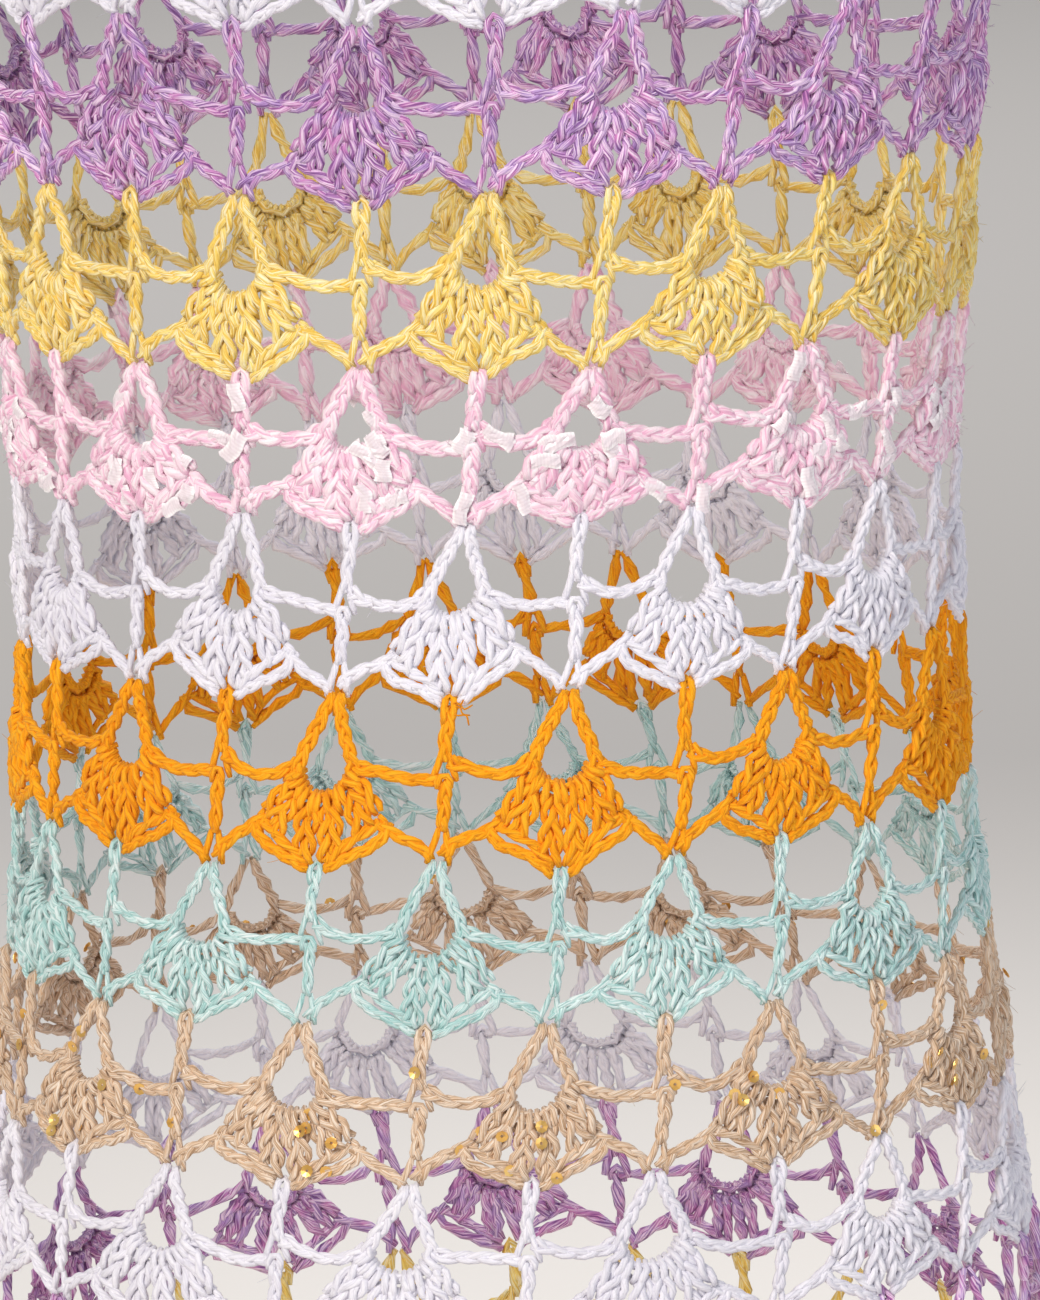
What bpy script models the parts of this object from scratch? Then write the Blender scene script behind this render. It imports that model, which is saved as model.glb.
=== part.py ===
"""Crochet maxi dress, worn shape: an openwork lace tube in striped bands, held up by two shoulder straps.

Metres, +Z up. The origin lies midway between the shoulder straps, level with their undersides, where
the shoulders carry the dress. The front faces -Y and the wearer's left is +X.
"""
import functools
import math

import bmesh
import bpy
import numpy as np

# Driving dimensions
WALL = 0.003                    # thickness of the double crochet fabric
SEAM_GAP = 0.0003               # clearance between a strap and the top edge
SIDE_GAP = 0.0006               # clearance of front and back outside, about half of it inside
REPEATS = 12                    # fans round the dress in each band
BANDS = 25                      # coloured bands, one fan row each
BAND_HEIGHT = 0.046
TOP_DROP = 0.093                # top edge below the strap undersides
EDGING_HEIGHT = 0.012           # plain crocheted edging above the first band
FIRST_BAND_DROP = TOP_DROP + EDGING_HEIGHT

# One band's lattice, as drops below its upper joint, and widths as shares of one repeat
JOINT_DROP = 0.004              # the gap's shoulders, just below the joints of two bands
ROOF_RISE = 0.008               # the gap's roof reaches up between the fans above
ROOF_RISE_FIRST = 0.002         # the same where the plain edging lies above
BAR_DROP = 0.020                # the chain bar that closes the gap below
SCALLOP_RISE = 0.007            # the band's lower edge between a fan and a post
POST_HALF = 0.055               # half the width of a post
LEG_TOP = 0.050                 # the V stitch's leg at the joint
LEG_FOOT = 0.140                # the same leg where it meets the bar
SEAM_STRIP = 0.055              # the strip of fabric along a side seam
COLUMNS = 4                     # mesh columns in one repeat: V stitch, gap, post, gap

# The columns lean round the body: the share of a repeat, from the top down to this many bands
LEAN = 0.70
LEAN_BANDS = 14
COLUMN_SHIFT = 0.016            # the pattern's place round the body, as a share of a repeat

# The body that the dress keeps the shape of: one row for each level
# drop below the straps, half width, front depth, back depth
SECTIONS = (
    (0.093, 0.1490, 0.108, 0.092),    # chest above the bust
    (0.155, 0.1515, 0.124, 0.096),    # bust
    (0.250, 0.1440, 0.113, 0.090),    # under the bust
    (0.345, 0.1375, 0.109, 0.086),    # waist
    (0.390, 0.1390, 0.112, 0.093),
    (0.460, 0.1440, 0.117, 0.107),
    (0.520, 0.1520, 0.122, 0.119),
    (0.590, 0.1605, 0.126, 0.124),    # hips
    (0.690, 0.1620, 0.126, 0.122),
    (0.890, 0.1560, 0.121, 0.118),    # knees
    (1.090, 0.1540, 0.120, 0.119),
    (1.255, 0.1560, 0.122, 0.122),    # hem
)

# Soft folds of the hanging skirt: one row for each fold, a rounded ridge
# degrees round from the front centre, width in degrees, height at the hem, drop where it starts
FOLDS = (
    (-162, 14, 0.020, 0.70),
    (-131, 11, 0.015, 0.82),
    (-92, 12, 0.020, 0.66),
    (-57, 13, 0.022, 0.72),
    (-23, 11, 0.014, 0.88),
    (9, 12, 0.020, 0.70),
    (44, 12, 0.017, 0.78),
    (91, 12, 0.022, 0.67),
    (124, 11, 0.014, 0.84),
    (158, 12, 0.018, 0.76),
)
HEM_DROP = FIRST_BAND_DROP + BANDS * BAND_HEIGHT

# Straps
STRAP_WIDTH = 0.014
STRAP_X = 0.085                 # middle of a strap from the centre
STRAP_STEPS = 22                # lengths of the strap along its arch


def level(drop):
    """Half width, front depth and back depth at a drop, on a smooth curve through the sections."""
    rows = np.array(SECTIONS)
    at = rows[:, 0]
    index = int(np.clip(np.searchsorted(at, drop) - 1, 0, len(at) - 2))
    slope = np.gradient(rows[:, 1:], at, axis=0)
    span = at[index + 1] - at[index]
    t = min(max((drop - at[index]) / span, 0.0), 1.0)
    start, end = rows[index, 1:], rows[index + 1, 1:]
    blend = t * t * (3 - 2 * t)
    bow = (t * (1 - t) ** 2) * slope[index] * span - (t * t * (1 - t)) * slope[index + 1] * span
    return start + (end - start) * blend + bow


def fold_depth(angle, drop):
    """How far the folds push the fabric out at an angle in radians, at a drop."""
    depth = 0.0
    for middle, width, hem_depth, start in FOLDS:
        away = math.degrees(angle) - middle
        away = (away + 180) % 360 - 180
        grown = min(max((drop - start) / (HEM_DROP - start), 0.0), 1.0)
        depth += hem_depth * grown ** 1.5 * math.exp(-(away / width) ** 2)
    return depth


def ring_point(angle, drop):
    """A point of the outer face; the angle turns from the front centre towards +X."""
    half_width, front, back = level(drop)
    depth = front if math.cos(angle) > 0 else back
    x, y = half_width * math.sin(angle), -depth * math.cos(angle)
    grow = 1 + fold_depth(angle, drop) / math.hypot(x, y)
    return x * grow, y * grow, -drop


@functools.lru_cache(maxsize=None)
def ring_measure(drop):
    """Angles right round the body and past the start again, and the fabric's length up to each."""
    angles = np.radians(np.arange(-270, 451, 3))
    points = np.array([ring_point(angle, drop)[:2] for angle in angles])
    run = np.concatenate([[0], np.cumsum(np.hypot(*np.diff(points, axis=0).T))])
    return angles, run


def ring_angle(drop, place):
    """Angle of a place counted in repeats from the front centre, evenly spaced along the fabric."""
    angles, run = ring_measure(drop)
    quarter_turns = np.radians(np.arange(-270, 451, 90))
    quarter_places = np.arange(-9, 16, REPEATS / 4)
    quarter_run = np.interp(quarter_turns, angles, run)
    return float(np.interp(np.interp(place, quarter_places, quarter_run), run, angles))


def lean(drop):
    """Sideways drift of the stitch columns at a drop, in repeats."""
    t = min(max((drop - FIRST_BAND_DROP) / (LEAN_BANDS * BAND_HEIGHT), 0.0), 1.0)
    return COLUMN_SHIFT - LEAN * t * t * (3 - 2 * t)


def is_v_column(column, band):
    """Whether a mesh column runs down the middle of a V stitch in a band; the fans shift each band."""
    return (column - 2 * band - 2) % COLUMNS == 0


def lattice_rows():
    """The mesh rows from the top edge to the hem: band, drop on stitch columns and on gap columns."""
    rows = [("edge", 0, TOP_DROP, TOP_DROP)]
    for band in range(BANDS):
        joint = FIRST_BAND_DROP + band * BAND_HEIGHT
        roof = ROOF_RISE if band else ROOF_RISE_FIRST
        rows.append(("joint", band, joint + JOINT_DROP, joint - roof))
        rows.append(("bar", band, joint + BAR_DROP, joint + BAR_DROP))
    rows.append(("edge", BANDS, HEM_DROP, HEM_DROP - SCALLOP_RISE))
    return rows


def stitch_shift(kind, column, band):
    """How far a stitch column's fabric edge stands to the side of its middle, in repeats."""
    if kind == "edge" or column % 2:
        return 0.0
    if not is_v_column(column, band):
        return POST_HALF
    return -LEG_TOP if kind == "joint" else -LEG_FOOT


def lace_panel(name, first_column, material, collection):
    """Half of the lace tube: a grid laid on the body's form, one gap cut in each repeat of each band."""
    rows = lattice_rows()
    columns = REPEATS // 2 * COLUMNS
    # a column more at each side makes the strip of fabric along the seam
    wide = columns + 2
    mesh = bpy.data.meshes.new(name)
    grid = bmesh.new()
    bmesh.ops.create_grid(grid, x_segments=wide, y_segments=len(rows) - 1, size=0.5)
    places = {}
    for vertex in grid.verts:
        across = round((vertex.co.x + 0.5) * wide)
        down = round((0.5 - vertex.co.y) * (len(rows) - 1))
        places[vertex] = (across, down)

    for face in list(grid.faces):
        across = min(places[v][0] for v in face.verts)
        down = min(places[v][1] for v in face.verts)
        kind, band = rows[down][:2]
        column = first_column + across - 1
        in_gap = is_v_column(column + 1, band) or is_v_column(column + 2, band)
        if kind == "joint" and in_gap and 0 < across <= columns:
            bmesh.ops.delete(grid, geom=[face], context="FACES_ONLY")

    for vertex, (across, down) in places.items():
        kind, band, stitch_drop, gap_drop = rows[down]
        at_seam = across in (0, wide)
        column = first_column + min(max(across - 1, 0), columns)
        drop = stitch_drop if column % 2 == 0 else gap_drop
        low, high = first_column / COLUMNS, (first_column + columns) / COLUMNS
        if at_seam:
            place = low if across == 0 else high
        elif across in (1, wide - 1):
            place = low + SEAM_STRIP if across == 1 else high - SEAM_STRIP
        else:
            place = column / COLUMNS + stitch_shift(kind, column, band)
        angle = ring_angle(drop, place + lean(drop))
        if at_seam:
            radius = math.hypot(*ring_point(angle, drop)[:2])
            angle += (SIDE_GAP / 2 / radius) * (1 if across == 0 else -1)
        vertex.co = ring_point(angle, drop)

    bmesh.ops.recalc_face_normals(grid, faces=grid.faces)
    outward = sum(f.normal.x * f.calc_center_median().x + f.normal.y * f.calc_center_median().y
                  for f in grid.faces)
    if outward < 0:
        bmesh.ops.reverse_faces(grid, faces=grid.faces)
    grid.to_mesh(mesh)
    grid.free()
    panel = bpy.data.objects.new(name, mesh)
    thicken(panel, material, collection)
    return panel


def thicken(piece, material, collection):
    """Give an open sheet the fabric's thickness, inwards, and its place in the collection."""
    collection.objects.link(piece)
    piece.data.materials.append(material)
    shell = piece.modifiers.new("wall", "SOLIDIFY")
    shell.thickness = WALL
    shell.offset = -1
    shell.use_even_offset = True


def strap(name, side, material, collection):
    """A flat crocheted strap that stands on the front top edge, arches over the shoulder and ends behind."""
    half_width, front, back = level(TOP_DROP)
    lift = SEAM_GAP - TOP_DROP
    across_edge = math.asin(STRAP_X / half_width)
    mesh = bpy.data.meshes.new(name)
    grid = bmesh.new()
    bmesh.ops.create_grid(grid, x_segments=2, y_segments=STRAP_STEPS, size=0.5)
    for vertex in grid.verts:
        across = vertex.co.x * STRAP_WIDTH
        turn = vertex.co.y * math.pi                      # -90 degrees in front to 90 behind
        depth = front if turn < 0 else back
        reach = depth * math.cos(across_edge)
        middle_y = reach * math.sin(turn)
        middle_z = lift + (WALL - lift) * math.cos(turn)
        # at each end the strap lies along the round edge, over the shoulder it lies straight
        edge_slope = math.atan2(depth * math.sin(across_edge), half_width * math.cos(across_edge))
        bend = edge_slope * math.sin(turn) ** 2 * (1 if turn < 0 else -1)
        vertex.co = (side * (STRAP_X + across * math.cos(bend)), middle_y + across * math.sin(bend), middle_z)
    bmesh.ops.recalc_face_normals(grid, faces=grid.faces)
    top = max(grid.faces, key=lambda f: f.calc_center_median().z)
    if top.normal.z < 0:
        bmesh.ops.reverse_faces(grid, faces=grid.faces)
    grid.to_mesh(mesh)
    grid.free()
    piece = bpy.data.objects.new(name, mesh)
    thicken(piece, material, collection)
    return piece


def yarn(name, colour, roughness):
    """Matte crochet cotton of one colour."""
    material = bpy.data.materials.new(name)
    material.use_nodes = True
    shader = material.node_tree.nodes["Principled BSDF"]
    shader.inputs["Base Color"].default_value = (*colour, 1.0)
    shader.inputs["Roughness"].default_value = roughness
    shader.inputs["Metallic"].default_value = 0.0
    material.diffuse_color = (*colour, 1.0)
    return material


for old in list(bpy.data.objects):
    bpy.data.objects.remove(old, do_unlink=True)
dress = bpy.data.collections.new("crochet_maxi_dress")
bpy.context.scene.collection.children.link(dress)

half_turn = REPEATS // 2 * COLUMNS
lace_panel("lace_front", -half_turn // 2, yarn("striped_cotton_front", (0.80, 0.55, 0.30), 0.85), dress)
lace_panel("lace_back", half_turn // 2, yarn("striped_cotton_back", (0.62, 0.45, 0.62), 0.85), dress)
strap("strap_left", 1, yarn("white_cotton_left", (0.80, 0.79, 0.84), 0.85), dress)
strap("strap_right", -1, yarn("white_cotton_right", (0.80, 0.79, 0.84), 0.85), dress)
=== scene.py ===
"""The crochet maxi dress as it looks: every stitch as yarn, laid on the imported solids' form."""
import math
from functools import partial

import bpy
import numpy as np
from mathutils import Matrix, Vector


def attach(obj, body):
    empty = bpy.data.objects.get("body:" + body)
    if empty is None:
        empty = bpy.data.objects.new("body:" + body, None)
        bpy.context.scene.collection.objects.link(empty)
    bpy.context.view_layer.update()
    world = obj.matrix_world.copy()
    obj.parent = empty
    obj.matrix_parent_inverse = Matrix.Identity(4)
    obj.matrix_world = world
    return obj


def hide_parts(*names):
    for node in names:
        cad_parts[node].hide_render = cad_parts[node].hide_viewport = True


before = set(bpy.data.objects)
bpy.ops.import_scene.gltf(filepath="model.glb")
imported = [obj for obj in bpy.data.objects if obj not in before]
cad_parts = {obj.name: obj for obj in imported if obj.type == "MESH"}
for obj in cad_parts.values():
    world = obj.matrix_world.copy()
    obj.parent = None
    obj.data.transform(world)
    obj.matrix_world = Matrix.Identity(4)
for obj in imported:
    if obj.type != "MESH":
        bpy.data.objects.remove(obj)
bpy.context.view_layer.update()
bpy.ops.object.select_all(action="DESELECT")

# The worn form. The real fabric is one stretchy tube of openwork crochet: it follows the figure from the
# chest to the hips, and hangs in soft folds below them. Every stitch is laid on this form, which is the
# outer face of the solids: metres, drops count down from the undersides of the straps.
REPEATS = 12                    # fans round the dress in each band
BANDS = 25
BAND_HEIGHT = 0.046
TOP_DROP = 0.093
FIRST_BAND_DROP = 0.105
HEM_DROP = FIRST_BAND_DROP + BANDS * BAND_HEIGHT
WALL = 0.003
LEAN = 0.70                     # the columns drift this share of a repeat over the upper bands
LEAN_BANDS = 14
COLUMN_SHIFT = 0.016

# drop below the straps, half width, front depth, back depth
SECTIONS = np.array((
    (0.093, 0.1490, 0.108, 0.092),    # chest above the bust
    (0.155, 0.1515, 0.124, 0.096),    # bust
    (0.250, 0.1440, 0.113, 0.090),    # under the bust
    (0.345, 0.1375, 0.109, 0.086),    # waist
    (0.390, 0.1390, 0.112, 0.093),
    (0.460, 0.1440, 0.117, 0.107),
    (0.520, 0.1520, 0.122, 0.119),
    (0.590, 0.1605, 0.126, 0.124),    # hips
    (0.690, 0.1620, 0.126, 0.122),
    (0.890, 0.1560, 0.121, 0.118),    # knees
    (1.090, 0.1540, 0.120, 0.119),
    (1.255, 0.1560, 0.122, 0.122),    # hem
))

# degrees round from the front centre, width in degrees, height at the hem, drop where the fold starts
FOLDS = (
    (-162, 14, 0.020, 0.70),
    (-131, 11, 0.015, 0.82),
    (-92, 12, 0.020, 0.66),
    (-57, 13, 0.022, 0.72),
    (-23, 11, 0.014, 0.88),
    (9, 12, 0.020, 0.70),
    (44, 12, 0.017, 0.78),
    (91, 12, 0.022, 0.67),
    (124, 11, 0.014, 0.84),
    (158, 12, 0.018, 0.76),
)


def ease(t):
    """A smooth step from 0 to 1."""
    t = np.clip(t, 0.0, 1.0)
    return t * t * (3 - 2 * t)


def unit(ways):
    """The same ways, each of length 1."""
    return ways / np.linalg.norm(ways, axis=-1, keepdims=True)


def run_along(points):
    """The run up to each point of a line, or of many lines at once."""
    steps = np.linalg.norm(np.diff(points, axis=-2), axis=-1)
    return np.cumsum(np.concatenate([np.zeros_like(steps[..., :1]), steps], axis=-1), axis=-1)


def curve_through(at, rows, wanted):
    """A smooth curve through rows of values that are given at some places, read at the wanted places."""
    index = np.clip(np.searchsorted(at, wanted) - 1, 0, len(at) - 2)
    slope = np.gradient(rows, at, axis=0)
    span = (at[index + 1] - at[index])[:, None]
    t = np.clip((wanted - at[index])[:, None] / span, 0.0, 1.0)
    bow = t * (1 - t) ** 2 * slope[index] * span - t * t * (1 - t) * slope[index + 1] * span
    return rows[index] + (rows[index + 1] - rows[index]) * ease(t) + bow


def level(drop):
    """Half width, front depth and back depth at each drop."""
    return curve_through(SECTIONS[:, 0], SECTIONS[:, 1:], np.atleast_1d(drop))


def ring(angle, drop):
    """Points of the outer face at angles from the front centre towards +X, one row for each drop."""
    half_width, front, back = (column[:, None] for column in level(drop).T)
    depth = np.where(np.cos(angle) > 0, front, back)
    x, y = half_width * np.sin(angle), -depth * np.cos(angle)
    fold = np.zeros_like(x)
    for middle, width, height, start in FOLDS:
        away = (np.degrees(angle) - middle + 180) % 360 - 180
        grown = np.clip((np.asarray(drop)[:, None] - start) / (HEM_DROP - start), 0.0, 1.0)
        fold = fold + height * grown ** 1.5 * np.exp(-(away / width) ** 2)
    grow = 1 + fold / np.hypot(x, y)
    return np.stack([x * grow, y * grow, -np.asarray(drop)[:, None] + np.zeros_like(x)], axis=-1)


# The form as an even mesh of drops and places. Places count the repeats round from the front centre, and go
# on past one full round, because the columns lean and the back half starts where the front half ends.
FORM_MARGIN = 0.012             # past the top edge and the hem
FORM_ROWS = 240
FORM_PLACES = (-5, 11)
FORM_COLUMNS = 16 * 24 + 1      # 24 to a repeat
form_drops = np.linspace(TOP_DROP - FORM_MARGIN, HEM_DROP + FORM_MARGIN, FORM_ROWS)
form_places = np.linspace(*FORM_PLACES, FORM_COLUMNS)
turns = np.radians(np.arange(-360, 541, 2.5))
rings = ring(turns[None, :], form_drops)
runs = run_along(rings[..., :2])
quarter_turns = np.radians(np.arange(-360, 541, 90))
quarter_places = np.arange(-12, 19, REPEATS / 4)
form_angles = np.array([
    np.interp(np.interp(form_places, quarter_places, np.interp(quarter_turns, turns, run)), run, turns)
    for run in runs])
form_points = ring(form_angles, form_drops)
across_form = np.gradient(form_points, form_places, axis=1)
down_form = np.gradient(form_points, form_drops, axis=0)
out_form = unit(np.cross(down_form, across_form))
form_table = np.concatenate([form_points, out_form, across_form, down_form], axis=-1)


def on_form(place, drop):
    """Points on the form, and there the unit vectors outwards, across and down, and a repeat's length."""
    row = np.interp(drop, form_drops, np.arange(len(form_drops)))
    column = np.interp(place, form_places, np.arange(len(form_places)))
    r = np.minimum(row.astype(int), len(form_drops) - 2)
    c = np.minimum(column.astype(int), len(form_places) - 2)
    fr, fc = (row - r)[..., None], (column - c)[..., None]
    found = (form_table[r, c] * (1 - fr) * (1 - fc) + form_table[r, c + 1] * (1 - fr) * fc
             + form_table[r + 1, c] * fr * (1 - fc) + form_table[r + 1, c + 1] * fr * fc)
    point, out, across, down = np.split(found, 4, axis=-1)
    repeat = np.linalg.norm(across, axis=-1)
    return point, out, across / repeat[..., None], unit(down), repeat


def lean(drop):
    """Sideways drift of the stitch columns at a drop, in repeats."""
    return COLUMN_SHIFT - LEAN * ease((drop - FIRST_BAND_DROP) / (LEAN_BANDS * BAND_HEIGHT))


# how far hand work wanders: waves of a size, a count round the dress, a slant down it and a start
WANDER_ACROSS = ((0.012, 5, 31, 0.0), (0.010, 11, -57, 1.3), (0.008, 26, 163, 0.4))
WANDER_DOWN = ((0.0007, 7, 43, 0.6), (0.0006, 16, -71, 0.0), (0.0005, 31, 139, 2.1))


def handmade(place, drop):
    """How far hand work is from the even pattern there: in repeats across, and in metres down."""
    turn = 2 * math.pi * place / REPEATS
    return [sum(size * np.sin(count * turn + slant * drop + start) for size, count, slant, start in waves)
            for waves in (WANDER_ACROSS, WANDER_DOWN)]


# The stitches of one repeat, drawn flat in millimetres: across from the V stitch, down from the joint
# with the band above. A repeat is 64 wide and 46 high. The yarn runs as plaits of three strands, the way
# chains and double crochet stitches lie, and the fan is ten stitches worked into one space. Work goes
# from left to right, so the chains leave a stitch lower on one side than on the other.
REPEAT_MM = 64.0
BAND_MM = BAND_HEIGHT * 1000
POST = REPEAT_MM / 2

# points across and down the middle of each run of stitches
LEG = ((1.2, -0.2), (1.5, 2.0), (2.8, 5.6), (4.5, 9.8), (6.3, 14.0), (7.6, 18.2), (8.0, 21.6))
UPPER_BAR_RIGHT = ((8.2, 19.4), (11.5, 20.6), (16.0, 21.9), (22.0, 22.8), (28.0, 22.9), (31.4, 23.2))
UPPER_BAR_LEFT = ((-8.0, 18.0), (-11.5, 19.9), (-16.0, 21.2), (-22.0, 21.2), (-27.0, 19.4), (-30.6, 17.4))
LOWER_BAR_RIGHT = ((15.8, 33.4), (19.6, 36.7), (23.8, 39.9), (28.0, 43.0), (30.2, 46.0))
LOWER_BAR_LEFT = ((-15.8, 33.0), (-19.6, 36.0), (-24.6, 38.4), (-29.2, 41.4), (-31.2, 44.6))
UPPER_POST = ((POST, 2.2), (POST, 6.4), (POST - 0.2, 11.0), (POST, 17.6))
LOWER_POST = ((POST, 23.2), (POST + 0.2, 28.0), (POST, 33.0), (POST, 38.0))
POST_LOOP = ((-1.2, 6.6), (-1.6, 3.6), (-1.4, 0.8), (0.0, -0.7), (1.4, 0.8), (1.6, 3.6), (1.2, 6.6))
LEFT_FOOT = ((-0.9, 0.0), (-1.5, 3.4), (-2.3, 6.2), (-3.0, 9.4))
UPPER_FOOT_DROP, LOWER_FOOT_DROP = 14.4, 37.3
LOWER_LOOP_DROP = 22.0
OUTER_EDGE = ((19.4, 34.6), (18.0, 38.4), (14.8, 41.0), (10.8, 42.7), (6.4, 45.2), (2.4, 47.9))
INNER_EDGE = ((17.2, 34.6), (13.6, 36.8), (10.4, 38.9), (7.2, 41.2), (4.2, 44.2), (2.2, 45.6))
# The fan hangs from a round space below the leg stitches: first eleven wraps of yarn over the rim of the
# space, then the heads of the ten stitches, which open out to the edge. Angles are from straight down.
RIM_DROP = 19.5
RIM_RADIUS = 6.8
FAN_SPREAD = 0.66               # the stitches turn outwards by this share of their angle on the rim
RIM_ANGLES = (-84, -56, -28, 0, 28, 56, 84)
WRAP_ANGLES = np.linspace(-80, 80, 11)
WRAP_RUN = 5.6
WRAP_REACH = (-1.3, 0.9)        # a wrap comes from inside the rim and bends over it
WRAP_THICK = 1.12
# each stitch: its angle on the rim, its run to the edge, and where it turns to; slits stay between some
HEADS = ((76, 14.4, 67), (60, 15.0, 55), (43, 16.0, 43), (23, 17.4, 18), (8, 19.0, 8))
HEAD_START = 2.6
HEAD_THICK = 1.14

# each plait: how far its strands swing to the sides, and in and out, and the run of one full swing
LEG_PLAIT = (1.30, 0.70, 15)
UPPER_BAR_PLAIT = (1.02, 0.60, 17)
LOWER_BAR_PLAIT = (0.98, 0.58, 16.5)
POST_PLAIT = (1.20, 0.68, 18)
OUTER_EDGE_PLAIT = (0.92, 0.58, 15)
INNER_EDGE_PLAIT = (0.75, 0.50, 13)
RIM_PLAIT = (0.70, 0.50, 12)
HEAD_PLAIT = (1.30, 0.95, 12.5)

# how high a run lies over the fabric, and how wide its plait opens, from its start to its end
LEG_LIFT = (0.0, 1.3, 0.7, 0.4, 0.3, 0.3, 0.2, 0.0)
RIGHT_LEG_WIDE = (0.5, 0.85, 1.10, 1.05, 1.0, 0.95, 1.7)
LEFT_LEG_WIDE = (0.5, 0.85, 1.10, 1.05, 1.0, 1.0)
WRAP_LIFT = (-2.0, 0.9, 1.5, 1.5, 1.1, 0.4, -0.6)
HEAD_LIFT = (-0.9, 0.9, 1.3, 1.0, 0.7, 0.3)
HEAD_WIDE = (0.8, 1.15, 1.1, 1.0, 1.0, 1.1)


def smooth_line(points, step, least=4):
    """A smooth curve through points, as at least so many points a step apart, and the run up to each."""
    points = np.array(points, float)
    chord = run_along(points)
    curve = curve_through(chord, points, np.linspace(0, chord[-1], 120))
    run = run_along(curve)
    even = np.linspace(0, run[-1], max(least, int(round(run[-1] / step)) + 1))
    return np.stack([np.interp(even, run, curve[:, i]) for i in range(2)], axis=1), even


def plait(points, step, strands, half, depth, turn, start, lift, widen=(1.0, 1.0, 1.0), thick=1.0, least=4):
    """Strands that plait along a curve: each is its points on the fabric, its way off them and its thickness.

    half is how far a strand swings to each side and depth in and out, turn is the run of one full swing,
    lift holds the height over the fabric along the run, and widen the share of half along the run."""
    line, run = smooth_line(points, step, least)
    way = unit(np.gradient(line, axis=0))
    share = run / run[-1]
    height = np.interp(share, np.linspace(0, 1, len(lift)), lift)
    wide = np.interp(share, np.linspace(0, 1, len(widen)), widen)
    made = []
    for strand in range(strands):
        swing = start + 2 * math.pi * (run / turn + strand / strands)
        side = half * wide * np.sin(swing)
        out = height + depth * (np.sin(2 * swing) if strands == 3 else np.cos(swing))
        made.append((line, np.stack([side * way[:, 1], -side * way[:, 0], out], axis=1), thick))
    return made


def mirrored(points):
    """The same run of stitches on the left half."""
    return tuple((-across, down) for across, down in points)


def moved(points, across, down):
    """A run of stitches moved to another place."""
    return tuple((x + across, y + down) for x, y in points)


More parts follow.
